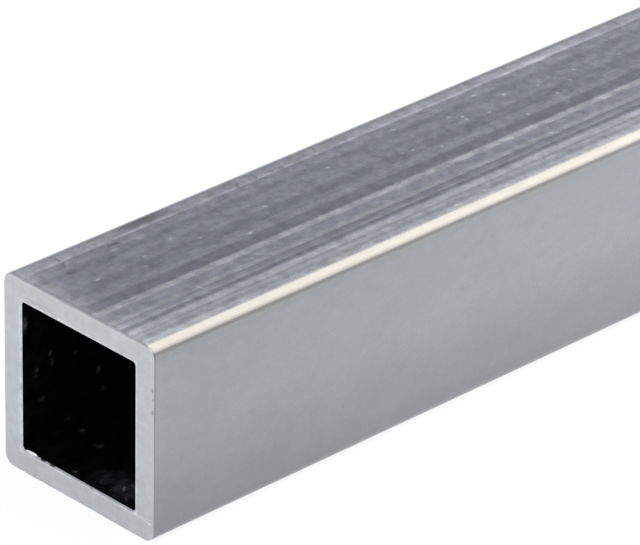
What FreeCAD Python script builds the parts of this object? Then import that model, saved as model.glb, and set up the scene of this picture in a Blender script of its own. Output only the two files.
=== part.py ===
import FreeCAD, Part
import math
import os
import Sketcher

# Square aluminium tube: one length of extruded stock, 25 x 25 mm with a 3 mm wall.
# It lies along X, centred on X and Y, and its lower face rests on Z = 0.
# All sizes are in millimetres.

TUBE_LENGTH = 300.0
OUTER_SIDE = 25.0
WALL_THICKNESS = 3.0
OUTER_CORNER_RADIUS = 1.5
INNER_CORNER_RADIUS = 0.4
OUTER_EDGE_BREAK = 0.15
BORE_EDGE_BREAK = 0.15

NODE_NAME = "square_tube"
AT_END_PLANE = 1e-6

# How a constraint numbers a sketch's own axes and the two ends of a line or arc.
X_AXIS, Y_AXIS = -1, -2
START, END = 1, 2


def add_sizes(doc):
    """Puts the driving dimensions in a sheet, one named cell each."""
    sheet = doc.addObject("Spreadsheet::Sheet", "Sizes")
    sizes = {
        "tube_length": TUBE_LENGTH,
        "outer_side": OUTER_SIDE,
        "wall_thickness": WALL_THICKNESS,
        "outer_corner_radius": OUTER_CORNER_RADIUS,
        "inner_corner_radius": INNER_CORNER_RADIUS,
        "outer_edge_break": OUTER_EDGE_BREAK,
        "bore_edge_break": BORE_EDGE_BREAK,
    }
    for row, (alias, value) in enumerate(sizes.items(), start=1):
        sheet.set(f"A{row}", alias)
        sheet.set(f"B{row}", str(value))
        sheet.setAlias(f"B{row}", alias)
    doc.recompute()
    return sheet


def origin_plane(body, role):
    """Finds one of the body's own origin planes by its role."""
    return next(plane for plane in body.Origin.OriginFeatures if plane.Role == role)


def drive(sketch, constraint, name, expression):
    """Adds a constraint, names it and binds it to the sheet."""
    index = sketch.addConstraint(constraint)
    sketch.renameConstraint(index, name)
    sketch.setExpression(f"Constraints.{name}", expression)


def add_rounded_square(sketch, name, side, lowest, radius, expressions):
    """Draws one closed loop of the section: four flats joined by four tangent arcs.

    The sketch's own X runs across the tube and its Y runs up.
    """
    half = side / 2
    highest = lowest + side
    straight = half - radius
    low_centre = lowest + radius
    high_centre = highest - radius
    up = FreeCAD.Vector(0, 0, 1)
    quarter = math.pi / 2

    def line(start, end):
        segment = Part.LineSegment(FreeCAD.Vector(*start, 0), FreeCAD.Vector(*end, 0))
        return sketch.addGeometry(segment)

    def arc(centre, first_quarter):
        circle = Part.Circle(FreeCAD.Vector(*centre, 0), up, radius)
        start = first_quarter * quarter
        return sketch.addGeometry(Part.ArcOfCircle(circle, start, start + quarter))

    bottom = line((-straight, lowest), (straight, lowest))
    bottom_right = arc((straight, low_centre), 3)
    right = line((half, low_centre), (half, high_centre))
    top_right = arc((straight, high_centre), 0)
    top = line((straight, highest), (-straight, highest))
    top_left = arc((-straight, high_centre), 1)
    left = line((-half, high_centre), (-half, low_centre))
    bottom_left = arc((-straight, low_centre), 2)

    loop = [bottom, bottom_right, right, top_right, top, top_left, left, bottom_left]
    for piece, following in zip(loop, loop[1:] + loop[:1]):
        joint = Sketcher.Constraint("Tangent", piece, END, following, START)
        sketch.addConstraint(joint)

    sketch.addConstraint(Sketcher.Constraint("Horizontal", top))
    for flat in (left, right):
        sketch.addConstraint(Sketcher.Constraint("Vertical", flat))
    for corner in (top_right, top_left, bottom_left):
        sketch.addConstraint(Sketcher.Constraint("Equal", bottom_right, corner))

    # Both ends of the lower flat lie the same distance from the tube's centre plane,
    # which also keeps that flat level.
    sketch.addConstraint(Sketcher.Constraint(
        "Symmetric", bottom, START, bottom, END, Y_AXIS))

    drive(sketch, Sketcher.Constraint("Radius", bottom_right, radius),
          f"{name}_radius", expressions["radius"])
    drive(sketch, Sketcher.Constraint("DistanceX", left, START, right, END, side),
          f"{name}_width", expressions["side"])
    drive(sketch, Sketcher.Constraint("DistanceY", bottom, START, top, END, side),
          f"{name}_height", expressions["side"])
    if expressions["lowest"] is None:
        sketch.addConstraint(Sketcher.Constraint("PointOnObject", bottom, START, X_AXIS))
    else:
        drive(sketch, Sketcher.Constraint("DistanceY", X_AXIS, START,
                                          bottom, START, lowest),
              f"{name}_lowest", expressions["lowest"])


def add_section(body):
    """Draws the extruded section, the outer outline with the bore inside it."""
    sketch = body.newObject("Sketcher::SketchObject", "Section")
    sketch.AttachmentSupport = [(origin_plane(body, "YZ_Plane"), "")]
    sketch.MapMode = "FlatFace"
    add_rounded_square(sketch, "outer", OUTER_SIDE, 0.0, OUTER_CORNER_RADIUS, {
        "side": "Sizes.outer_side",
        "radius": "Sizes.outer_corner_radius",
        "lowest": None,
    })
    bore_side = OUTER_SIDE - 2 * WALL_THICKNESS
    add_rounded_square(sketch, "bore", bore_side, WALL_THICKNESS, INNER_CORNER_RADIUS, {
        "side": "Sizes.outer_side - 2 * Sizes.wall_thickness",
        "radius": "Sizes.inner_corner_radius",
        "lowest": "Sizes.wall_thickness",
    })
    return sketch


def add_extrusion(body, section):
    """Runs the section out equally both ways from the middle of the tube."""
    pad = body.newObject("PartDesign::Pad", "Extrusion")
    pad.Profile = section
    pad.SideType = "Symmetric"
    pad.setExpression("Length", "Sizes.tube_length")
    return pad


def end_edges(shape, of_bore):
    """Names the edges of both saw cuts, round the bore or round the outside."""
    names = []
    for number, edge in enumerate(shape.Edges, start=1):
        box = edge.BoundBox
        on_cut = box.XLength < AT_END_PLANE
        reach = max(abs(box.YMin), abs(box.YMax),
                    abs(box.ZMin - OUTER_SIDE / 2), abs(box.ZMax - OUTER_SIDE / 2))
        on_bore = reach < OUTER_SIDE / 2 - WALL_THICKNESS / 2
        if on_cut and on_bore == of_bore:
            names.append(f"Edge{number}")
    return names


def add_edge_break(body, base, name, of_bore, expression):
    """Breaks the sharp edges that the saw leaves at both ends."""
    chamfer = body.newObject("PartDesign::Chamfer", name)
    chamfer.Base = (base, end_edges(base.Shape, of_bore))
    chamfer.setExpression("Size", expression)
    return chamfer


def build_tube(doc):
    """Makes the tube: the extruded section, then both cut ends deburred."""
    body = doc.addObject("PartDesign::Body", "SquareTube")
    body.Label = NODE_NAME
    section = add_section(body)
    extrusion = add_extrusion(body, section)
    doc.recompute()
    outer_break = add_edge_break(body, extrusion, "OuterEdgeBreak", False,
                                 "Sizes.outer_edge_break")
    doc.recompute()
    bore_break = add_edge_break(body, outer_break, "BoreEdgeBreak", True,
                                "Sizes.bore_edge_break")
    body.Tip = bore_break
    body.Placement = FreeCAD.Placement()
    doc.recompute()
    return body


def check(doc, bodies):
    """Stops before anything is written if a feature failed or a shape is bad."""
    for item in doc.Objects:
        if "Invalid" in item.State or "Error" in item.State:
            raise RuntimeError(f"{item.Name} failed: {item.State}")
    for body in bodies:
        if body.Shape.isNull() or not body.Shape.isValid():
            raise RuntimeError(f"{body.Label} has no valid shape")
        if len(body.Shape.Solids) != 1:
            raise RuntimeError(f"{body.Label} is not one solid")


def main():
    doc = FreeCAD.newDocument("SquareTube")
    add_sizes(doc)
    tube = build_tube(doc)
    check(doc, [tube])
    os.makedirs("parts", exist_ok=True)
    tube.Shape.exportStep(os.path.join("parts", f"{tube.Label}.step"))
    box = tube.Shape.BoundBox
    print(f"{tube.Label}: {box.XLength:.3f} x {box.YLength:.3f} x {box.ZLength:.3f} mm,"
          f" volume {tube.Shape.Volume:.1f} mm3, {len(tube.Shape.Faces)} faces")


main()
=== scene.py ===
import math
import random

import bpy
from mathutils import Matrix, Vector


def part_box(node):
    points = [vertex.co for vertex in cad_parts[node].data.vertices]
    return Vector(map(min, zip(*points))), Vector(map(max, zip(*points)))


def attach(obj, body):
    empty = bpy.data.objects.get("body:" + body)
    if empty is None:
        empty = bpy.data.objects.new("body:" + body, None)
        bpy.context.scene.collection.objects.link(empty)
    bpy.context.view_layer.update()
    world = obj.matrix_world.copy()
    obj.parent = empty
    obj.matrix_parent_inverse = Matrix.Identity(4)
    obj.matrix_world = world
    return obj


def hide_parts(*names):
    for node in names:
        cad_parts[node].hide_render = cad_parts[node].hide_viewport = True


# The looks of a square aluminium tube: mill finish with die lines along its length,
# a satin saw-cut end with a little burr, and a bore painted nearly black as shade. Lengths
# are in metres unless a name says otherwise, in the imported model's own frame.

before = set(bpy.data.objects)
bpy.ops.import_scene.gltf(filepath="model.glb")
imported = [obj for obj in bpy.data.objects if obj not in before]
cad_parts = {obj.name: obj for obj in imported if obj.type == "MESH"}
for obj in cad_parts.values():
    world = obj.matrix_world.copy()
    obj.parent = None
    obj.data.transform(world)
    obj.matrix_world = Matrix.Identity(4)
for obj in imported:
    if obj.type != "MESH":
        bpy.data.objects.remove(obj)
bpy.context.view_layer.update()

MM = 0.001
low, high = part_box("square_tube")
SIDE = high.z - low.z
HALF_SIDE = SIDE / 2
HALF_LENGTH = (high.x - low.x) / 2
WALL = 3.0 * MM
OUTER_RADIUS = 1.5 * MM
INNER_RADIUS = 0.4 * MM
OUTER_BREAK = 0.15 * MM
BORE_BREAK = 0.15 * MM
BORE_HALF = HALF_SIDE - WALL

# The photograph's view: a long lens that looks down at the cut end from its near side.
PICTURE_WIDTH = 640
PICTURE_HEIGHT = 545
SENSOR_MM = 36.0
FOCAL_PIXELS = 6010
CUT_END_PIXEL = (77.6, 406.7)
LOOK_AZIMUTH = math.radians(45.73)
LOOK_DOWN = math.radians(28.31)
ROLL = math.radians(1.1)
CAMERA_DISTANCE = 26.90 * SIDE
NEAREST_SEEN = 0.01
FARTHEST_SEEN = 200.0


def build_camera():
    """Places the camera so that the middle of the cut end shows at its pixel."""
    ahead = Vector((math.cos(LOOK_AZIMUTH) * math.cos(LOOK_DOWN),
                    math.sin(LOOK_AZIMUTH) * math.cos(LOOK_DOWN),
                    -math.sin(LOOK_DOWN)))
    level_right = Vector((math.sin(LOOK_AZIMUTH), -math.cos(LOOK_AZIMUTH), 0.0))
    level_up = level_right.cross(ahead)
    right = math.cos(ROLL) * level_right + math.sin(ROLL) * level_up
    up = right.cross(ahead)
    across = (CUT_END_PIXEL[0] - PICTURE_WIDTH / 2) / FOCAL_PIXELS
    above = (PICTURE_HEIGHT / 2 - CUT_END_PIXEL[1]) / FOCAL_PIXELS
    cut_end = Vector((-HALF_LENGTH, 0.0, HALF_SIDE))
    spot = cut_end - CAMERA_DISTANCE * (ahead + across * right + above * up)

    data = bpy.data.cameras.new("camera")
    data.sensor_width = SENSOR_MM
    data.lens = SENSOR_MM * FOCAL_PIXELS / PICTURE_WIDTH
    data.clip_start = NEAREST_SEEN
    data.clip_end = FARTHEST_SEEN
    camera = bpy.data.objects.new("camera", data)
    turn = Matrix((right, up, -ahead)).transposed()
    camera.matrix_world = Matrix.Translation(spot) @ turn.to_4x4()
    bpy.context.scene.collection.objects.link(camera)
    bpy.context.scene.camera = camera


# Faces and marks

# What a face shows across its width, in mm round the section from where the face starts.
# A flat lies between 1.5 and 23.5 mm, and the rounded edge after it goes on to 25.86 mm.
# A band is (start, end, tone) and a line (centre, width, tone). A tone over 1 is bright,
# one under 1 dull. A neutral stretch is (start, end, share of the blue tinge that it loses).
# A fade is (start, end, tone): the tone runs evenly from 1 at the start to that at the end.
# On the upper face the bands also paint light. The 0.87 band makes the whole flat darker than
# the other faces as painted shade. The band from 20.05 to 23.6 mm is a painted sheen. The two
# bands from 23.55 mm add a painted highlight on the rounded near edge to the key light's own.
# The bands from 25.12 mm paint a dark reflection line below it.
TOP_BANDS_AND_PAINTED_LIGHT = (
    (0.0, 23.6, 0.87), (0.0, 3.25, 1.26), (12.75, 14.45, 0.78), (14.45, 18.1, 1.15),
    (20.05, 23.6, 1.47), (23.55, 24.77, 1.24), (23.55, 25.08, 1.19), (25.12, 25.47, 0.755),
    (25.5, 30.0, 0.965),
)
TOP_LINES = (
    (1.45, 0.5, 0.87), (2.95, 0.5, 1.24), (3.7, 0.4, 1.07), (4.4, 0.8, 1.14),
    (5.65, 0.9, 0.90), (7.05, 0.8, 1.05), (8.5, 0.5, 1.06), (10.0, 1.8, 0.86),
    (11.35, 0.5, 0.97), (12.05, 0.9, 1.10), (15.15, 0.9, 1.41), (17.65, 0.7, 1.24),
    (18.3, 0.35, 0.88), (19.1, 0.4, 1.20), (19.6, 0.4, 0.80), (20.75, 0.85, 1.26),
    (21.3, 0.3, 0.93), (21.85, 0.4, 1.12), (22.5, 0.4, 0.93), (23.3, 0.8, 1.26),
)
# These neutral stretches paint the warmer tinge of reflected light. On the upper face they run
# along the far edge, beside the highlight and on it. On the near side they cover its top and
# its foot.
TOP_PAINTED_NEUTRAL = ((0.0, 1.6, 0.9), (0.5, 3.1, 0.7), (20.2, 30.0, 0.7), (22.6, 30.0, 1.0))
# On the near side, the fade is painted shade that darkens the face towards its lower edge. The
# band is a painted dark reflection line at the top of the face, just under the highlight.
NEAR_PAINTED_SHADE_FADE = (11.5, 25.0, 0.73)
NEAR_PAINTED_SHADE_BANDS = ((-1.0, 2.0, 0.965),)
NEAR_PAINTED_NEUTRAL = ((-2.0, 1.5, 1.0), (20.5, 30.0, 0.4))
# On the far side's upper rounded edge these bands paint its reflection: a little lighter, then
# darker towards the top.
FAR_PAINTED_REFLECTION_BANDS = ((23.6, 30.0, 1.05), (24.7, 30.0, 0.85))
NO_FADE = (0.0, 25.0, 1.0)

# Marks on the upper face: (mm from the cut, mm from the far edge, half length along the
# tube, half length across it, slant in degrees, tone).
TOP_MARKS_AND_GLOW = (
    (6.0, 2.3, 0.22, 1.6, 0, 0.72), (46.2, 2.1, 0.25, 1.4, 0, 0.74),
    (78.0, 2.1, 0.30, 1.4, 0, 0.78), (97.0, 2.1, 0.30, 1.4, 0, 0.78),
    (5.6, 4.0, 0.28, 1.0, -27, 0.72), (5.4, 5.7, 1.5, 0.8, 0, 0.80),
    (19.2, 1.8, 5.2, 1.3, 0, 0.60), (2.0, 2.3, 16.0, 1.3, 0, 1.14),
    (27.0, 3.4, 0.8, 0.3, 0, 1.30), (29.5, 2.3, 1.5, 0.7, 15, 0.84),
    (29.6, 4.2, 1.4, 0.35, 0, 0.82), (31.8, 1.9, 0.9, 0.7, 20, 0.74),
    (32.4, 3.2, 0.8, 0.3, 10, 1.35), (32.5, 4.9, 2.5, 0.8, 0, 1.12),
    (33.4, 2.7, 0.35, 1.0, -18, 0.70), (35.4, 3.3, 0.7, 0.25, 0, 1.25),
    (36.3, 2.5, 0.40, 1.0, -18, 0.70), (37.1, 2.9, 1.1, 0.45, 10, 1.22),
    (38.8, 2.7, 0.35, 0.8, -18, 0.74), (40.4, 2.8, 0.5, 0.35, 0, 0.72),
    (46.2, 2.9, 0.5, 0.3, 0, 1.35), (81.8, 2.9, 4.8, 0.9, 0, 1.26),
    (13.1, 3.9, 1.3, 0.45, 0, 0.58), (12.2, 5.0, 1.0, 0.45, 0, 1.50),
    (11.2, 6.1, 1.1, 0.40, 0, 0.80), (13.5, 18.1, 0.20, 1.1, 12, 1.55),
    # The second mark on this line, 8 mm from the cut beside the highlight, is painted glow of
    # the highlight.
    (2.0, 18.9, 26.0, 1.4, 0, 1.24), (8.0, 23.1, 10.0, 0.7, 0, 1.20),
    (60.0, 11.6, 26.0, 0.9, 0, 1.08), (62.0, 15.1, 30.0, 0.5, 0, 1.10),
    (68.0, 2.6, 30.0, 1.1, 0, 1.16), (90.0, 2.5, 24.0, 1.0, 0, 1.17),
    (0.4, 5.0, 1.3, 1.5, 0, 1.12), (45.0, 15.2, 0.6, 0.3, 0, 1.25),
    (64.5, 5.9, 0.8, 0.35, 0, 0.80), (78.6, 9.8, 0.9, 0.35, 0, 0.80),
    (2.5, 19.1, 6.0, 1.0, 0, 1.14), (2.5, 22.9, 2.6, 0.9, 0, 1.16),
)

# Bright specks on the upper face: (mm from the cut, mm from the far edge).
TOP_SPECKS = (
    (6.1, 9.0), (21.6, 9.3), (26.4, 12.2), (32.3, 8.6), (44.3, 6.4), (53.2, 9.6),
    (54.8, 9.9), (56.8, 4.5), (58.0, 11.5), (63.9, 6.6), (65.3, 7.6), (65.1, 8.5),
    (68.4, 9.0), (70.1, 4.6), (71.5, 12.3), (73.0, 6.8), (77.8, 7.7), (78.1, 10.7),
    (81.8, 9.2), (84.0, 7.7),
)
SPECK_HALF_ALONG_MM = 0.42
SPECK_HALF_ACROSS_MM = 0.30
SPECK_TONE = 1.65

# Marks on the cut end: (mm to the far side from the middle, mm above the lower face, half
# length across, half height, slant in degrees, tone).
END_MARKS = (
    # The first mark on this line is the raised line: a painted glint of a small step in the
    # cut that the mesh doesn't have.
    (-10.7, 2.68, 1.75, 0.13, 8, 1.22), (-11.95, 2.5, 0.3, 0.26, 0, 1.30),
    (7.8, 0.12, 1.3, 0.16, 0, 0.60), (-12.38, 19.7, 0.17, 0.40, 0, 0.66),
    (-12.38, 18.5, 0.16, 0.30, 0, 0.68), (-12.38, 16.9, 0.17, 0.40, 0, 0.70),
    (6.0, 2.95, 0.55, 0.15, 0, 0.12), (4.4, 2.95, 0.60, 0.13, 0, 0.15),
    (6.3, 22.75, 3.0, 0.35, 0, 0.91), (-6.0, 0.30, 3.4, 0.17, 0, 0.91),
    (5.4, 0.30, 2.4, 0.16, 0, 0.91), (-10.5, 5.2, 1.4, 4.0, 0, 0.965),
    (9.62, 11.0, 0.10, 0.5, 0, 0.70), (9.62, 15.8, 0.10, 0.4, 0, 0.75),
    (2.0, 24.75, 1.4, 0.12, 0, 0.86), (-3.5, 24.8, 0.8, 0.10, 0, 0.88),
)

# The burr that the saw pushed over the lower edge of the opening: mm to the far side from
# the middle, mm above the lower face, half its size along, across and up the tube, and how
# far it starts inside the plane of the cut.
BURR_ACROSS_MM = 8.1
BURR_HEIGHT_MM = 3.0
BURR_HALF_MM = (0.17, 1.02, 0.30)
BURR_INSET_MM = 0.01
BURR_SEED = 5

# Lighter specks and smears in the bore: (mm from the cut, mm to the far side from the
# middle, mm above the lower face, half length, half width, half height, slant in degrees,
# tone).
BORE_MARKS = (
    (8.2, 9.5, 12.7, 0.6, 0.5, 0.6, 0, 12.0), (11.5, 9.5, 9.0, 0.8, 0.5, 0.9, 0, 26.0),
    (12.3, 9.5, 6.2, 0.7, 0.5, 0.7, 0, 16.0), (4.3, 9.5, 13.6, 0.5, 0.5, 0.6, 0, 11.0),
    (4.5, 9.5, 12.4, 0.6, 0.5, 0.8, 0, 12.0), (2.1, 9.5, 12.0, 0.7, 0.5, 0.8, 0, 16.0),
    (3.1, 9.5, 8.4, 0.7, 0.5, 0.6, 0, 23.0), (6.9, 9.5, 4.4, 0.5, 0.5, 0.5, 0, 8.0),
    (8.0, 7.9, 3.0, 0.9, 0.8, 0.5, 30, 19.0), (7.0, 4.1, 3.0, 0.7, 0.6, 0.5, 0, 11.0),
    (1.1, 1.6, 3.0, 0.6, 0.5, 0.5, 0, 18.0), (0.5, 9.5, 18.8, 0.6, 0.5, 1.4, 0, 14.0),
    (2.4, -5.0, 3.0, 1.0, 0.3, 0.5, 45, 6.0), (3.7, -5.2, 3.0, 0.7, 0.4, 0.5, 45, 4.0),
    (1.3, -6.9, 3.0, 0.9, 0.3, 0.5, 45, 4.0), (1.6, -2.2, 3.0, 0.9, 0.3, 0.5, 45, 3.0),
    (2.9, -4.0, 3.0, 3.8, 5.4, 0.5, 0, 8.0), (1.8, -6.0, 3.0, 2.4, 3.6, 0.5, 0, 1.8),
)

# How gradually bands, lines and neutral stretches begin and end. A narrow line's edge is
# only as soft as this share of its width.
BAND_SOFT_MM = 0.25
LINE_SOFT_MM = 0.30
LINE_SOFT_SHARE = 0.6
NEUTRAL_SOFT_MM = 1.0

# A bright line loses its blue tinge too, by this much for each unit of tone over 1.
LINE_NEUTRAL_RATE = 2.5
LINE_NEUTRAL_MOST = 0.8

# The rounded edge after a flat shows little of the flat's streaks.
EDGE_START_MM = 23.7
EDGE_SOFT_MM = 0.4
EDGE_STREAKS_LOST = 0.85

# Faces that the photograph doesn't show draw their lines from these ranges.
MADE_UP_COUNT = 20
MADE_UP_CENTRES_MM = (1.5, 23.5)
MADE_UP_WIDTHS_MM = (0.3, 1.6)
MADE_UP_TONES = (0.86, 1.16)


def soft_step(value, edge, soft):
    """0 well below the edge and 1 well above it."""
    share = max(0.0, min(1.0, (value - edge) / soft + 0.5))
    return share * share * (3 - 2 * share)


def band_level(bands, place_mm):
    """The tone that the broad bands give at a place across a face."""
    tone = 1.0
    for start, end, band in bands:
        begun = soft_step(place_mm, start, BAND_SOFT_MM)
        ended = soft_step(place_mm, end, BAND_SOFT_MM)
        tone *= 1 + (band - 1) * begun * (1 - ended)
    return tone


def line_level(lines, place_mm):
    """The tone that the narrow lines give at a place across a face."""
    tone = 1.0
    for centre, width, line in lines:
        soft = min(LINE_SOFT_MM, LINE_SOFT_SHARE * width)
        inside = soft_step(width / 2 - abs(place_mm - centre), 0.0, soft)
        tone *= 1 + (line - 1) * inside
    return tone


def neutral_share(stretches, place_mm):
    """How far a place across a face has lost the blue tinge of the rest, from 0 to 1."""
    share = 0.0
    for start, end, most in stretches:
        begun = soft_step(place_mm, start, NEUTRAL_SOFT_MM)
        ended = soft_step(place_mm, end, NEUTRAL_SOFT_MM)
        share = max(share, most * begun * (1 - ended))
    return share


def made_up_lines(seed):
    """Die lines for a face that the photograph doesn't show."""
    draw = random.Random(seed)
    lines = []
    for _ in range(MADE_UP_COUNT):
        centre = draw.uniform(*MADE_UP_CENTRES_MM)
        width = draw.uniform(*MADE_UP_WIDTHS_MM)
        tone = draw.uniform(*MADE_UP_TONES)
        lines.append((centre, width, tone))
    return tuple(lines)


class Face:
    """What one of the four long faces looks like across its width."""

    def __init__(self, bands=(), lines=(), neutral=(), fade=NO_FADE, streaks=1.0):
        self.bands = bands
        self.lines = lines
        self.neutral = neutral
        self.fade = fade
        self.streaks = streaks

    def levels(self, place_mm):
        """The bands' tone, the lines' tone, the share of blue lost and that of streaks."""
        start, end, faded = self.fade
        gone = max(0.0, min(1.0, (place_mm - start) / (end - start)))
        band = band_level(self.bands, place_mm) * (1 + (faded - 1) * gone)
        line = line_level(self.lines, place_mm)
        bright_line = max(0.0, min(LINE_NEUTRAL_MOST, LINE_NEUTRAL_RATE * (line - 1)))
        neutral = max(neutral_share(self.neutral, place_mm), bright_line)
        on_edge = soft_step(place_mm, EDGE_START_MM, EDGE_SOFT_MM)
        streaks = self.streaks * (1 - EDGE_STREAKS_LOST * on_edge)
        return band, line, neutral, streaks


LOWER_FACE = Face(lines=made_up_lines(seed=12), streaks=0.9)
FAR_FACE = Face(FAR_PAINTED_REFLECTION_BANDS, made_up_lines(seed=11), streaks=0.7)
UPPER_FACE = Face(TOP_BANDS_AND_PAINTED_LIGHT, TOP_LINES, TOP_PAINTED_NEUTRAL)
NEAR_FACE = Face(NEAR_PAINTED_SHADE_BANDS, neutral=NEAR_PAINTED_NEUTRAL, fade=NEAR_PAINTED_SHADE_FADE, streaks=0.12)
FACES = (LOWER_FACE, FAR_FACE, UPPER_FACE, NEAR_FACE)

# The tube's mesh

FLAT_STEPS = 200
ARC_STEPS = 16
END_RINGS = 10
STATIONS_MM = (0.6, 2.0, 6.0, 15.0, 40.0, 90.0)
BORE_STATION_MM = 10.0
SHARP_ANGLE = math.radians(25)
MILL, CUT, BORE, FRESH = 0, 1, 2, 3

# The skin dips by this much for each unit that a line's tone is below the one that lies
# level with the solid's faces.
RELIEF_DEPTH = 0.010 * MM
LEVEL_TONE = 1.25

# A lump's points, how uneven they are, its height as a share of its reach, and how much of
# that height goes towards its thin end.
LUMP_STEPS = 14
LUMP_RINGS = 7
LUMP_SIZES = (0.94, 1.05)
LUMP_HEIGHT = 0.75
LUMP_TAPER = 0.35


def outline(half, radius):
    """A rounded square as (place, outward normal, face, place across the face, way round).

    It runs along the lower face to the far side, up, back over the upper face and down the
    near side, so that it closes at the near lower edge. Places are (y, z) counted from the
    middle of the section.
    """
    points = []
    straight = half - radius
    quarter = math.pi / 2
    pitch = 2 * straight + quarter * radius
    for face in range(4):
        turn = Matrix.Rotation((face + 2) * quarter, 2)
        centre = turn @ Vector((-straight, straight))
        for step in range(FLAT_STEPS):
            gone = 2 * straight * step / FLAT_STEPS
            place = turn @ Vector((straight - gone, half))
            normal = turn @ Vector((0, 1))
            points.append((place, normal, face, radius + gone, face * pitch + gone))
        for step in range(ARC_STEPS):
            angle = quarter * step / ARC_STEPS
            normal = turn @ Vector((-math.sin(angle), math.cos(angle)))
            gone = 2 * straight + radius * angle
            place = centre + radius * normal
            points.append((place, normal, face, radius + gone, face * pitch + gone))
    return points


class Skin:
    """Rings of points with what the material reads there, joined by bands of faces."""

    # The band level carries the face tables' painted highlight, shade and sheen as well as the
    # die's bands.
    LEVELS = ("band", "line", "neutral", "streaks", "around")
    PLAIN = (1.0, 1.0, 0.0, 0.0, 0.0)

    def __init__(self):
        self.points = []
        self.faces = []
        self.kinds = []
        self.levels = {name: [] for name in self.LEVELS}

    def ring(self, x, places, levels):
        """Adds a ring of points at one place along the tube and gives its first index."""
        start = len(self.points)
        for (y, z), level in zip(places, levels):
            self.points.append((x, y, z + HALF_SIDE))
            for name, value in zip(self.LEVELS, level):
                self.levels[name].append(value)
        return start

    def join(self, first, second, count, kind):
        """Adds the band of faces between two rings of as many points."""
        for index in range(count):
            after = (index + 1) % count
            self.faces.append((first + index, first + after, second + after, second + index))
            self.kinds.append(kind)

    def lump(self, centre, reach, kind, draw):
        """A small uneven blob, closed all round, that is thinner towards the far side."""
        rings = []
        for ring in range(LUMP_RINGS):
            lean = math.pi * (ring + 0.5) / LUMP_RINGS
            places = []
            for step in range(LUMP_STEPS):
                angle = 2 * math.pi * step / LUMP_STEPS
                size = math.sin(lean) * draw.uniform(*LUMP_SIZES)
                across = math.cos(angle) * size
                up = math.sin(angle) * size * (LUMP_HEIGHT - LUMP_TAPER * across)
                places.append((centre[1] + reach[1] * across, centre[2] + reach[2] * up))
            x = centre[0] - reach[0] * math.cos(lean)
            rings.append(self.ring(x, places, [self.PLAIN] * LUMP_STEPS))
        for first, second in zip(rings, rings[1:]):
            self.join(first, second, LUMP_STEPS, kind)
        self.faces.append(tuple(rings[0] + step for step in reversed(range(LUMP_STEPS))))
        self.faces.append(tuple(rings[-1] + step for step in range(LUMP_STEPS)))
        self.kinds += [kind, kind]

    def build(self, name):
        """Makes the Blender object, with each level as an attribute of its points."""
        mesh = bpy.data.meshes.new(name)
        mesh.from_pydata(self.points, [], self.faces)
        mesh.polygons.foreach_set("material_index", self.kinds)
        mesh.polygons.foreach_set("use_smooth", [True] * len(self.faces))
        for level, values in self.levels.items():
            layer = mesh.attributes.new("die_" + level, "FLOAT", "POINT")
            layer.data.foreach_set("value", values)
        mesh.validate()
        mesh.update()
        mesh.set_sharp_from_angle(angle=SHARP_ANGLE)
        piece = bpy.data.objects.new(name, mesh)
        bpy.context.scene.collection.objects.link(piece)
        return piece


def outside_levels(outer):
    """What the material reads at each point of the outside: see Skin.LEVELS."""
    return [(*FACES[face].levels(across / MM), around)
            for *_, face, across, around in outer]


def add_outside(skin, outer, levels):
    """The four long faces with the die's relief. Gives where each of its rings starts."""
    places = []
    for (place, normal, *_), (_, line, *_) in zip(outer, levels):
        dip = RELIEF_DEPTH * max(0.0, LEVEL_TONE - line)
        places.append(place - normal * dip)
    stations = [-HALF_LENGTH + OUTER_BREAK] + [-HALF_LENGTH + MM * mm for mm in STATIONS_MM]
    stations += [-x for x in reversed(stations)]
    rings = [skin.ring(x, places, levels) for x in stations]
    for first, second in zip(rings, rings[1:]):
        skin.join(first, second, len(outer), MILL)
    return rings


def add_bore(skin, inner, levels):
    """The inside, from mouth to mouth. Gives where each of its rings starts."""
    places = [place for place, *_ in inner]
    mouth = -HALF_LENGTH + BORE_BREAK
    deeper = -HALF_LENGTH + BORE_STATION_MM * MM
    rings = [skin.ring(x, places, levels) for x in (mouth, deeper, -deeper, -mouth)]
    for first, second in zip(rings, rings[1:]):
        skin.join(second, first, len(inner), BORE)
    return rings


def add_cut_end(skin, x, shell, bore, rims, levels):
    """One sawn end between a ring of the outside and one of the bore, with its edges."""
    face_rim, bore_rim = rims
    loops = [shell]
    for step in range(END_RINGS + 1):
        share = step / END_RINGS
        places = [a.lerp(b, share) for a, b in zip(face_rim, bore_rim)]
        loops.append(skin.ring(x, places, levels))
    loops.append(bore)
    for first, second in zip(loops, loops[1:]):
        if x < 0:
            first, second = second, first
        skin.join(first, second, len(levels), CUT)


def add_burr(skin):
    """The little metal that the saw pushed into the lower edge of the opening."""
    half_along, half_across, half_up = (MM * half for half in BURR_HALF_MM)
    centre = (-HALF_LENGTH + BURR_INSET_MM * MM + half_along,
              BURR_ACROSS_MM * MM, BURR_HEIGHT_MM * MM - HALF_SIDE)
    skin.lump(centre, (half_along, half_across, half_up), FRESH, random.Random(BURR_SEED))


def build_tube():
    """The whole skin of the tube: outside, bore, both cut ends with their edges, and burr.

    The bore's outline has as many points as the outside's, so each takes the levels of the
    point next to it.
    """
    outer = outline(HALF_SIDE, OUTER_RADIUS)
    inner = outline(BORE_HALF, INNER_RADIUS)
    levels = outside_levels(outer)
    rims = ([place - normal * OUTER_BREAK for place, normal, *_ in outer],
            [place + normal * BORE_BREAK for place, normal, *_ in inner])
    skin = Skin()
    shells = add_outside(skin, outer, levels)
    bores = add_bore(skin, inner, levels)
    add_cut_end(skin, -HALF_LENGTH, shells[0], bores[0], rims, levels)
    add_cut_end(skin, HALF_LENGTH, shells[-1], bores[-1], rims, levels)
    add_burr(skin)
    return skin.build("tube_skin")


# Node helpers

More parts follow.
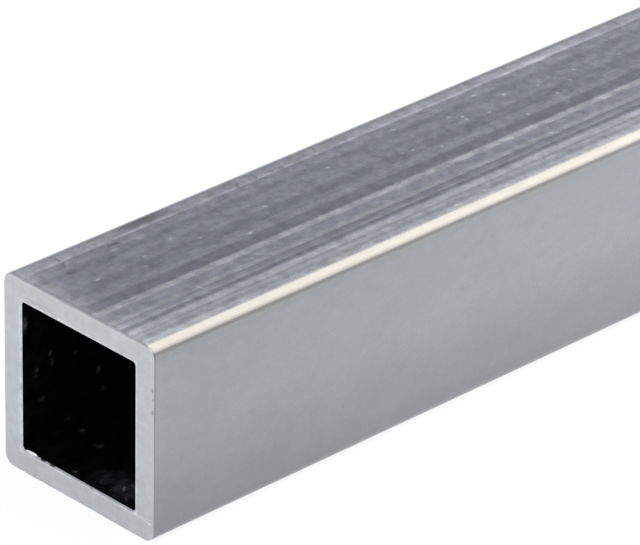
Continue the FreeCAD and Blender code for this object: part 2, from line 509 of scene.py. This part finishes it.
# The values that most of a noise lies between, the same for small changes of tinge, how
# small and how faint the least of a field's specks are, and a small mark's solid core.
NOISE_RANGE = (0.3, 0.7)
TINGE_RANGE = (0.38, 0.62)
SMALLEST_SPECK = 0.6
FAINTEST_SPECK = 0.4
MARK_CORE = 0.5


class Graph:
    """A material's or the world's node tree, with short calls for the nodes used here."""

    # A Mix node's colour sockets, which share their names with its other sockets.
    MIX_FIRST, MIX_SECOND, MIX_RESULT = 6, 7, 2

    def __init__(self, owner):
        owner.use_nodes = True
        self.tree = owner.node_tree
        self.tree.nodes.clear()

    def node(self, kind, **settings):
        made = self.tree.nodes.new(kind)
        for name, value in settings.items():
            setattr(made, name, value)
        return made

    def put(self, socket, value):
        """Links a socket to a node's output, or sets it to a number or colour."""
        if isinstance(value, bpy.types.NodeSocket):
            self.tree.links.new(value, socket)
        else:
            socket.default_value = value

    def math(self, operation, first, second=0.0, third=0.0):
        made = self.node("ShaderNodeMath", operation=operation)
        for socket, value in zip(made.inputs, (first, second, third)):
            self.put(socket, value)
        return made.outputs[0]

    def plus(self, *values):
        total = values[0]
        for value in values[1:]:
            total = self.math("ADD", total, value)
        return total

    def times(self, *values):
        product = values[0]
        for value in values[1:]:
            product = self.math("MULTIPLY", product, value)
        return product

    def fit(self, value, from_low, from_high, to_low=0.0, to_high=1.0, smooth=False):
        """Brings a value from one range to another, and keeps it inside that one."""
        kind = "SMOOTHSTEP" if smooth else "LINEAR"
        made = self.node("ShaderNodeMapRange", interpolation_type=kind)
        for name, number in (("Value", value), ("From Min", from_low), ("From Max", from_high),
                             ("To Min", to_low), ("To Max", to_high)):
            self.put(made.inputs[name], number)
        return made.outputs["Result"]

    def swing(self, noise, least, most):
        """Brings a noise to run between two values."""
        return self.fit(noise, *NOISE_RANGE, least, most)

    def place(self):
        """The point in the tube's own frame, in metres."""
        return self.node("ShaderNodeTexCoord").outputs["Object"]

    def split(self, vector):
        made = self.node("ShaderNodeSeparateXYZ")
        self.put(made.inputs[0], vector)
        return made.outputs

    def join(self, x, y, z=0.0):
        made = self.node("ShaderNodeCombineXYZ")
        for socket, value in zip(made.inputs, (x, y, z)):
            self.put(socket, value)
        return made.outputs[0]

    def stretched(self, vector, scale, offset):
        made = self.node("ShaderNodeMapping")
        self.put(made.inputs["Vector"], vector)
        made.inputs["Scale"].default_value = scale
        made.inputs["Location"].default_value = offset
        return made.outputs[0]

    def noise(self, vector, scale, offset=(0.0, 0.0, 0.0), detail=2.0, rough=0.5, flat=True):
        """Soft noise with so many cells a metre. Flat noise leaves out the third axis."""
        made = self.node("ShaderNodeTexNoise", noise_dimensions="2D" if flat else "3D")
        self.put(made.inputs["Vector"], self.stretched(vector, scale, offset))
        made.inputs["Scale"].default_value = 1.0
        made.inputs["Detail"].default_value = detail
        made.inputs["Roughness"].default_value = rough
        return made.outputs["Fac"]

    def specks(self, vector, scale, reach, chosen, offset=(0.0, 0.0, 0.0)):
        """Soft specks of many sizes in a chosen share of the cells, 0 between them."""
        made = self.node("ShaderNodeTexVoronoi", voronoi_dimensions="2D")
        self.put(made.inputs["Vector"], self.stretched(vector, scale, offset))
        made.inputs["Scale"].default_value = 1.0
        pick, size, strength = self.split(made.outputs["Color"])
        edge = self.fit(size, 0.0, 1.0, SMALLEST_SPECK * reach, reach)
        near = self.fit(made.outputs["Distance"], edge, 0.0, smooth=True)
        near = self.times(near, self.fit(strength, 0.0, 1.0, FAINTEST_SPECK, 1.0))
        return self.times(near, self.math("LESS_THAN", pick, chosen))

    def warped(self, place, frequency, amount):
        """The place moved about by up to half of the amount, so that marks come out uneven."""
        made = self.node("ShaderNodeTexNoise", noise_dimensions="3D")
        self.put(made.inputs["Vector"], place)
        made.inputs["Scale"].default_value = frequency
        made.inputs["Detail"].default_value = 2.0
        shift = self.node("ShaderNodeVectorMath", operation="SUBTRACT")
        self.put(shift.inputs[0], made.outputs["Color"])
        self.put(shift.inputs[1], (0.5, 0.5, 0.5))
        moved = self.node("ShaderNodeVectorMath", operation="MULTIPLY_ADD")
        self.put(moved.inputs[0], shift.outputs[0])
        self.put(moved.inputs[1], (amount, amount, amount))
        self.put(moved.inputs[2], place)
        return moved.outputs[0]

    def spot(self, place, centre, reach, slant, core):
        """1 in a small mark's core and 0 outside it. Centre and reach are in metres."""
        moved = self.node("ShaderNodeMapping", vector_type="TEXTURE")
        self.put(moved.inputs["Vector"], place)
        moved.inputs["Location"].default_value = centre
        moved.inputs["Rotation"].default_value = slant
        moved.inputs["Scale"].default_value = reach
        made = self.node("ShaderNodeVectorMath", operation="LENGTH")
        self.put(made.inputs[0], moved.outputs[0])
        return self.fit(made.outputs["Value"], 1.0, core, smooth=True)

    def marks(self, place, marks, core=MARK_CORE):
        """One tone for a row of marks, each (centre, reach, slant, tone)."""
        tones = []
        for centre, reach, slant, tone in marks:
            cover = self.spot(place, centre, reach, slant, core)
            tones.append(self.math("MULTIPLY_ADD", cover, tone - 1.0, 1.0))
        return self.times(*tones)

    def attribute(self, name):
        return self.node("ShaderNodeAttribute", attribute_name=name).outputs["Fac"]

    def blend(self, share, first, second):
        made = self.node("ShaderNodeMix", data_type="RGBA")
        self.put(made.inputs["Factor"], share)
        self.put(made.inputs[self.MIX_FIRST], first)
        self.put(made.inputs[self.MIX_SECOND], second)
        return made.outputs[self.MIX_RESULT]

    def tinted(self, colour, tone):
        """The colour times a tone of about 1."""
        made = self.node("ShaderNodeVectorMath", operation="SCALE")
        self.put(made.inputs[0], colour)
        self.put(made.inputs["Scale"], tone)
        return made.outputs[0]

    def bump(self, height, depth):
        made = self.node("ShaderNodeBump")
        made.inputs["Strength"].default_value = 1.0
        made.inputs["Distance"].default_value = depth
        self.put(made.inputs["Height"], height)
        return made.outputs[0]

    def metal(self, colour, roughness, normal=None):
        shader = self.node("ShaderNodeBsdfPrincipled")
        shader.inputs["Metallic"].default_value = 1.0
        self.put(shader.inputs["Base Color"], colour)
        self.put(shader.inputs["Roughness"], roughness)
        if normal is not None:
            self.put(shader.inputs["Normal"], normal)
        return shader

    def finish(self, shader):
        output = self.node("ShaderNodeOutputMaterial")
        self.tree.links.new(shader.outputs[0], output.inputs["Surface"])


# The mill finish of the long faces

# A grain has its cells a metre along the tube and round it, and an offset that sets it
# apart from the others. A swing is the (least, most) that a grain adds to the tone or
# multiplies it by. A ramp is (one place, another, value at the first, value at the other)
# and stays level outside them.

COOL_COLOUR = (0.379, 0.397, 0.446, 1.0)
WARM_COLOUR = (0.389, 0.396, 0.434, 1.0)
NEUTRAL_COLOUR = (0.398, 0.397, 0.402, 1.0)
# The near side's own colour is a painted reflection tinge; its metal is the same as the other
# faces'.
SIDE_REFLECTION_COLOUR = (0.371, 0.3855, 0.4115, 1.0)
MILL_ROUGHNESS = (0.24, 0.30)
MILL_BUMP = 0.0006 * MM

BEADS = {"scale": (420.0, 1100.0, 1.0), "detail": 3.0, "rough": 0.6}
FINE = {"scale": (220.0, 2400.0, 1.0), "offset": (3.0, 0.4, 0.0)}
PATCHES = {"scale": (340.0, 520.0, 1.0), "offset": (8.0, 2.6, 0.0)}
BLOTCHES = {"scale": (850.0, 900.0, 1.0), "offset": (4.0, 6.1, 0.0)}
CLOUDS = {"scale": (110.0, 160.0, 1.0), "offset": (1.0, 7.0, 0.0), "detail": 3.0}
TINGES = {"scale": (600.0, 600.0, 1.0), "offset": (2.0, 9.0, 0.0)}
BEAD_SWING = (0.55, 1.35)
FINE_SWING = (-0.02, 0.02)
PATCH_SWING = (-0.10, 0.10)
BLOTCH_SWING = (-0.12, 0.12)
CLOUD_SWING = (0.98, 1.02)

LIGHT_SPECKS = {"scale": (800.0, 800.0, 1.0), "reach": 0.42, "chosen": 0.035}
DARK_SPECKS = {"scale": (700.0, 800.0, 1.0), "offset": (5.3, 1.7, 0.0), "reach": 0.45,
               "chosen": 0.06}
LIGHT_SPECK_STRENGTH = 0.50
DARK_SPECK_STRENGTH = 0.22

# Ramps by the distance from the nearer cut: how strong the lines are, how much paler the
# streaked faces are in two steps beside the cut and then, as painted sheen, slowly inward,
# how much paler the near side grows inward as painted sheen, how grey the metal is and how
# far the darker line by the cut reaches.
LINES_BY_CUT = (0.0, 30 * MM, 0.80, 1.05)
PALE_BY_CUT = (0.0, 6 * MM, 0.28, 0.0)
PALEST_BY_CUT = (0.0, 2.2 * MM, 0.42, 0.0)
SHEEN_INWARD = (15 * MM, 90 * MM, -0.03, 0.095)
SIDE_SHEEN_INWARD = (0.0, 80 * MM, -0.065, 0.10)
GREY_BY_CUT = (3 * MM, 0.3 * MM, 0.0, 1.0)
CUT_EDGE = (0.5 * MM, 0.25 * MM, 0.0, 1.0)

# The strip of the upper face that is palest beside the cut: where its middle lies across
# the tube, and a ramp by the distance from there.
PALE_STRIP_Y = 3.7 * MM
PALE_OFF_STRIP = (5 * MM, 6.2 * MM, 1.0, 0.45)

# Ramps across the tube, and up from its lower face for the last: which part of the outside
# is the near side, and how dark the line by the cut is along the upper face and down the near
# side.
NEAR_SIDE = (-HALF_SIDE + 1.2 * MM, -HALF_SIDE + 0.3 * MM, 0.0, 1.0)
TOP_EDGE_DEPTH = (-8 * MM, 2 * MM, 0.05, 0.24)
SIDE_EDGE_DEPTH = (4 * MM, 18 * MM, 0.06, 0.26)

# How uneven the marks come out, as the (frequency, amount) that Graph.warped takes.
TOP_UNEVEN = (1100.0, 0.6 * MM)
TOP_MARK_CORE = 0.3


class MillPoint:
    """What the tones of the mill finish read at a point, as node sockets."""

    def __init__(self, g):
        self.place = g.place()
        along, self.y, self.z = g.split(self.place)
        self.spread = g.join(along, g.attribute("die_around"))
        self.from_cut = g.math("SUBTRACT", HALF_LENGTH, g.math("ABSOLUTE", along))
        self.near_side = g.fit(self.y, *NEAR_SIDE, smooth=True)
        self.streaks = g.attribute("die_streaks")
        self.beads = g.noise(self.spread, **BEADS)
        self.fine = g.noise(self.spread, **FINE)


def top_marks_and_glow():
    """The nicks, pale and dark patches and scratches on the upper face, and painted glow
    beside the highlight near the cut.
    """
    for from_cut, from_edge, half_along, half_across, slant_deg, tone in TOP_MARKS_AND_GLOW:
        centre = (-HALF_LENGTH + from_cut * MM, HALF_SIDE - from_edge * MM, SIDE)
        reach = (half_along * MM, half_across * MM, MM)
        yield centre, reach, (0.0, 0.0, math.radians(slant_deg)), tone
    for from_cut, from_edge in TOP_SPECKS:
        centre = (-HALF_LENGTH + from_cut * MM, HALF_SIDE - from_edge * MM, SIDE)
        reach = (SPECK_HALF_ALONG_MM * MM, SPECK_HALF_ACROSS_MM * MM, MM)
        yield centre, reach, (0.0, 0.0, 0.0), SPECK_TONE


def die_line_tone(g, point):
    """The die lines, broken up along their length and a little weaker beside the cut."""
    contrast = g.times(g.fit(point.from_cut, *LINES_BY_CUT),
                       g.swing(point.beads, *BEAD_SWING))
    line = g.math("SUBTRACT", g.attribute("die_line"), 1.0)
    return g.math("MULTIPLY_ADD", line, contrast, 1.0)


def uneven_tone(g, point):
    """Fine streaks, patches and blotches, where the face has streaks."""
    uneven = g.plus(g.swing(point.fine, *FINE_SWING),
                    g.swing(g.noise(point.spread, **PATCHES), *PATCH_SWING),
                    g.swing(g.noise(point.spread, **BLOTCHES), *BLOTCH_SWING))
    return g.math("MULTIPLY_ADD", uneven, point.streaks, 1.0)


def speck_tone(g, point):
    """Light specks and dark ones, where the face has streaks."""
    light = g.times(g.specks(point.spread, **LIGHT_SPECKS), LIGHT_SPECK_STRENGTH)
    dark = g.times(g.specks(point.spread, **DARK_SPECKS), DARK_SPECK_STRENGTH)
    return g.math("MULTIPLY_ADD", g.math("SUBTRACT", light, dark), point.streaks, 1.0)


def drift_and_sheen_tone(g, point):
    """Paler beside the cut, most of all in one strip, and slowly paler again inward as painted
    sheen.
    """
    by_cut = g.plus(g.fit(point.from_cut, *PALE_BY_CUT),
                    g.fit(point.from_cut, *PALEST_BY_CUT, smooth=True))
    off_strip = g.math("ABSOLUTE", g.math("SUBTRACT", point.y, PALE_STRIP_Y))
    by_cut = g.times(by_cut, g.fit(off_strip, *PALE_OFF_STRIP))
    drift = g.plus(by_cut, g.fit(point.from_cut, *SHEEN_INWARD))
    return g.math("MULTIPLY_ADD", drift, point.streaks, 1.0)


def side_sheen_tone(g, point):
    """The near side, which grows paler inward as painted sheen."""
    inward = g.fit(point.from_cut, *SIDE_SHEEN_INWARD)
    return g.math("MULTIPLY_ADD", point.near_side, inward, 1.0)


def cut_edge_tone(g, point):
    """The thin darker line where the long faces end at the saw cut."""
    on_side = g.times(point.near_side, g.fit(point.z, *SIDE_EDGE_DEPTH))
    depth = g.math("MAXIMUM", on_side, g.fit(point.y, *TOP_EDGE_DEPTH))
    edge = g.times(g.fit(point.from_cut, *CUT_EDGE, smooth=True), depth)
    return g.math("SUBTRACT", 1.0, edge)


def mill_colour(g, point):
    """Bluish grey with small changes of tinge, and neutral grey in places and by the cut; the
    near side's own tinge and the neutral grey along the edges are painted reflection tinge.
    """
    tinge = g.fit(g.noise(point.spread, **TINGES), *TINGE_RANGE)
    plain = g.blend(tinge, COOL_COLOUR, WARM_COLOUR)
    plain = g.blend(point.near_side, plain, SIDE_REFLECTION_COLOUR)
    by_cut = g.times(g.fit(point.from_cut, *GREY_BY_CUT, smooth=True), point.streaks)
    # die_neutral carries the face tables' painted reflection tinge as well as the bright
    # lines' loss of blue.
    neutral = g.math("MAXIMUM", g.attribute("die_neutral"), by_cut)
    return g.blend(neutral, plain, NEUTRAL_COLOUR)


def mill_finish():
    """Bright streaks and dull ones along the tube, from the die, with light handling marks,
    and painted highlight, shade, sheen and reflection tinge.
    """
    material = bpy.data.materials.new("mill_finish")
    g = Graph(material)
    point = MillPoint(g)
    marked = g.marks(g.warped(point.place, *TOP_UNEVEN), top_marks_and_glow(), TOP_MARK_CORE)
    tones = [tone(g, point) for tone in (die_line_tone, uneven_tone, speck_tone, drift_and_sheen_tone,
                                         side_sheen_tone, cut_edge_tone)]
    cloud_tone = g.swing(g.noise(point.spread, **CLOUDS), *CLOUD_SWING)
    # die_band holds the die's bands together with painted highlight, painted shade and painted
    # sheen.
    tone = g.times(g.attribute("die_band"), *tones, cloud_tone, marked)
    rough = g.swing(point.beads, *MILL_ROUGHNESS)
    normal = g.bump(g.times(point.fine, point.streaks), MILL_BUMP)
    g.finish(g.metal(g.tinted(mill_colour(g, point), tone), rough, normal))
    return material


# The sawn ends, with grains, swings and ramps as above

CUT_COOL_COLOUR = (0.537, 0.559, 0.580, 1.0)
CUT_WARM_COLOUR = (0.554, 0.555, 0.574, 1.0)
CUT_ROUGHNESS = 0.40
CUT_BUMP = 0.001 * MM

CUT_CLOUDS = {"scale": (200.0, 260.0, 260.0), "detail": 3.0, "flat": False}
CUT_PATCHES = {"scale": (500.0, 900.0, 900.0), "detail": 3.0, "flat": False}
CUT_GRAIN = {"scale": (900.0, 1400.0, 3800.0), "flat": False}
CUT_TINGES = {"scale": (500.0, 500.0, 500.0), "flat": False}
CUT_CLOUD_SWING = (0.96, 1.04)
CUT_PATCH_SWING = (0.955, 1.045)
CUT_GRAIN_SWING = (0.97, 1.03)

# Ramps by the distance outside the bore's edge, then how bright the bore's edge is by the
# noise of the patches, then ramps by the height above the lower face, of which the last two
# are painted shade that darkens the cut end towards its foot.
BORE_RIM = (0.6 * MM, 0.2 * MM, 0.0, 1.0)
OUTER_RIM = (WALL - 0.7 * MM, WALL - 0.4 * MM, 0.0, 1.0)
BORE_RIM_BY_PATCH = (0.35, 0.65, 0.08, 0.26)
OUTER_RIM_BY_HEIGHT = (0.5 * SIDE, SIDE, 0.0, 0.05)
CUT_SHADE_BY_HEIGHT = (0.0, SIDE, 0.965, 1.005)
CUT_FOOT_SHADE_BY_HEIGHT = (2 * MM, 6 * MM, 0.955, 1.0)
END_UNEVEN = (1500.0, 0.3 * MM)


def end_marks():
    """The raised line, which is a painted glint, nibbled edges and other small marks on the
    cut end.
    """
    for across, height, half_across, half_height, slant_deg, tone in END_MARKS:
        centre = (-HALF_LENGTH, across * MM, height * MM)
        reach = (MM, half_across * MM, half_height * MM)
        yield centre, reach, (math.radians(slant_deg), 0.0, 0.0), tone


def rim_distance(g, place):
    """How far a point on a cut end lies outside the bore's edge, in metres."""
    _, y, z = g.split(place)
    up = g.math("SUBTRACT", z, HALF_SIDE)
    reach = g.math("MAXIMUM", g.math("ABSOLUTE", y), g.math("ABSOLUTE", up))
    return g.math("SUBTRACT", reach, BORE_HALF)


def rim_tone(g, place, height, patch):
    """Brighter by the bore's edge, and a little by the upper part of the outer one."""
    out = rim_distance(g, place)
    bore_rim = g.times(g.fit(out, *BORE_RIM, smooth=True), g.fit(patch, *BORE_RIM_BY_PATCH))
    outer_rim = g.times(g.fit(out, *OUTER_RIM, smooth=True),
                        g.fit(height, *OUTER_RIM_BY_HEIGHT))
    return g.plus(bore_rim, outer_rim, 1.0)


def sawn_end():
    """The fresh satin face that the saw leaves."""
    material = bpy.data.materials.new("sawn_end")
    g = Graph(material)
    place = g.place()
    height = g.split(place)[2]
    patch = g.noise(place, **CUT_PATCHES)
    grain = g.noise(place, **CUT_GRAIN)
    tone = g.times(rim_tone(g, place, height, patch),
                   # Painted shade: the cut end grows darker towards its foot.
                   g.fit(height, *CUT_SHADE_BY_HEIGHT),
                   g.fit(height, *CUT_FOOT_SHADE_BY_HEIGHT, smooth=True),
                   g.swing(g.noise(place, **CUT_CLOUDS), *CUT_CLOUD_SWING),
                   g.swing(patch, *CUT_PATCH_SWING),
                   g.swing(grain, *CUT_GRAIN_SWING),
                   g.marks(g.warped(place, *END_UNEVEN), end_marks()))
    tinge = g.fit(g.noise(place, **CUT_TINGES), *TINGE_RANGE)
    colour = g.blend(tinge, CUT_COOL_COLOUR, CUT_WARM_COLOUR)
    g.finish(g.metal(g.tinted(colour, tone), CUT_ROUGHNESS, g.bump(grain, CUT_BUMP)))
    return material


# The bore

# The near-black colour is painted shade for the unlit inside, not the metal's own colour.
BORE_SHADE_COLOUR = (0.012, 0.0115, 0.013)
BORE_ROUGHNESS = 0.6
BORE_HAZE = {"scale": (500.0, 500.0, 1.0), "detail": 3.0}
BORE_HAZE_SWING = (0.3, 1.7)
BORE_UNEVEN = (900.0, 1.2 * MM)
BORE_MARK_CORE = 0.0


def bore_marks():
    """The lighter specks and smears on the far wall and the floor of the bore."""
    for from_cut, across, height, *halves, slant_deg, tone in BORE_MARKS:
        centre = (-HALF_LENGTH + from_cut * MM, across * MM, height * MM)
        reach = tuple(half * MM for half in halves)
        yield centre, reach, (0.0, 0.0, math.radians(slant_deg)), tone


def shaded_bore():
    """The unlit inside, painted nearly black as shade, with a few lighter specks."""
    material = bpy.data.materials.new("shaded_bore")
    g = Graph(material)
    place = g.place()
    spread = g.join(g.split(place)[0], g.attribute("die_around"))
    haze = g.swing(g.noise(spread, **BORE_HAZE), *BORE_HAZE_SWING)
    marked = g.marks(g.warped(place, *BORE_UNEVEN), bore_marks(), BORE_MARK_CORE)
    g.finish(g.metal(g.tinted(BORE_SHADE_COLOUR, g.times(haze, marked)), BORE_ROUGHNESS))
    return material


# The burr

FRESH_COLOUR = (0.93, 0.93, 0.92, 1.0)
FRESH_ROUGHNESS = 0.55
FRESH_GRAIN = {"scale": (4000.0, 4000.0, 4000.0), "flat": False}
FRESH_BUMP = 0.02 * MM


def fresh_burr():
    """The torn bright metal of the burr."""
    material = bpy.data.materials.new("fresh_burr")
    g = Graph(material)
    normal = g.bump(g.noise(g.place(), **FRESH_GRAIN), FRESH_BUMP)
    g.finish(g.metal(FRESH_COLOUR, FRESH_ROUGHNESS, normal))
    return material


# The floor

FLOOR_HALF = 30.0
FLOOR_COLOUR = (0.16, 0.16, 0.16, 1.0)
GLOW_COLOUR = (1.0, 1.0, 1.0, 1.0)
FLOOR_GLOW = 0.877


def pale_floor():
    """A nearly white floor that keeps the tube's shadow.

    Its glow shows in the picture and in what reflects the floor, and lights nothing else.
    """
    material = bpy.data.materials.new("pale_floor")
    g = Graph(material)
    diffuse = g.node("ShaderNodeBsdfDiffuse")
    diffuse.inputs["Color"].default_value = FLOOR_COLOUR
    glow = g.node("ShaderNodeEmission")
    glow.inputs["Color"].default_value = GLOW_COLOUR
    ray = g.node("ShaderNodeLightPath").outputs
    seen = g.math("MAXIMUM", ray["Is Camera Ray"], ray["Is Glossy Ray"])
    seen = g.math("MAXIMUM", seen, ray["Is Transmission Ray"])
    g.put(glow.inputs["Strength"], g.times(seen, FLOOR_GLOW))
    both = g.node("ShaderNodeAddShader")
    g.put(both.inputs[0], diffuse.outputs[0])
    g.put(both.inputs[1], glow.outputs[0])
    g.finish(both)
    return material


def build_floor():
    corners = [(-FLOOR_HALF, -FLOOR_HALF, 0), (FLOOR_HALF, -FLOOR_HALF, 0),
               (FLOOR_HALF, FLOOR_HALF, 0), (-FLOOR_HALF, FLOOR_HALF, 0)]
    mesh = bpy.data.meshes.new("floor")
    mesh.from_pydata(corners, [], [(0, 1, 2, 3)])
    mesh.materials.append(pale_floor())
    floor = bpy.data.objects.new("floor", mesh)
    bpy.context.scene.collection.objects.link(floor)


# Backdrop and lights

# The white goes over to grey between these two, as the height of a view's direction.
BACKDROP_WHITE = (0.99, 0.99, 0.99, 1.0)
SKY_GREY = (0.535, 0.55, 0.60, 1.0)
HORIZON_HEIGHT = 0.16
SKY_HEIGHT = 0.34

KEY_SOFTBOX = {"towards": (0.62, -0.25, 0.74), "half_angle_deg": 36, "radiance": 1.00,
               "colour": (1.0, 0.945, 0.745)}
FILL_SOFTBOX = {"towards": (-0.45, -0.35, 0.82), "half_angle_deg": 32, "radiance": 0.9,
                "colour": (0.97, 0.98, 1.0)}


def build_world():
    """A white backdrop low down all round, and a grey room above it."""
    world = bpy.data.worlds.new("studio")
    bpy.context.scene.world = world
    g = Graph(world)
    direction = g.node("ShaderNodeTexCoord").outputs["Generated"]
    height = g.split(direction)["Z"]
    share = g.fit(height, HORIZON_HEIGHT, SKY_HEIGHT, smooth=True)
    background = g.node("ShaderNodeBackground")
    g.put(background.inputs["Color"], g.blend(share, BACKDROP_WHITE, SKY_GREY))
    output = g.node("ShaderNodeOutputWorld")
    g.put(output.inputs["Surface"], background.outputs[0])


def add_softbox(name, towards, half_angle_deg, radiance, colour):
    """A far soft light, round as seen from the tube, in the direction given."""
    lamp = bpy.data.lights.new(name, "SUN")
    half = math.radians(half_angle_deg)
    lamp.angle = 2 * half
    lamp.energy = radiance * math.pi * math.sin(half) ** 2
    lamp.color = colour
    light = bpy.data.objects.new(name, lamp)
    light.rotation_euler = Vector(towards).to_track_quat("Z", "Y").to_euler()
    bpy.context.scene.collection.objects.link(light)


build_camera()
skin = build_tube()
for material in (mill_finish(), sawn_end(), shaded_bore(), fresh_burr()):
    skin.data.materials.append(material)
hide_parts("square_tube")
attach(skin, "root")

build_floor()
build_world()
add_softbox("key_softbox", **KEY_SOFTBOX)
add_softbox("fill_softbox", **FILL_SOFTBOX)
bpy.context.scene.view_settings.view_transform = "Standard"
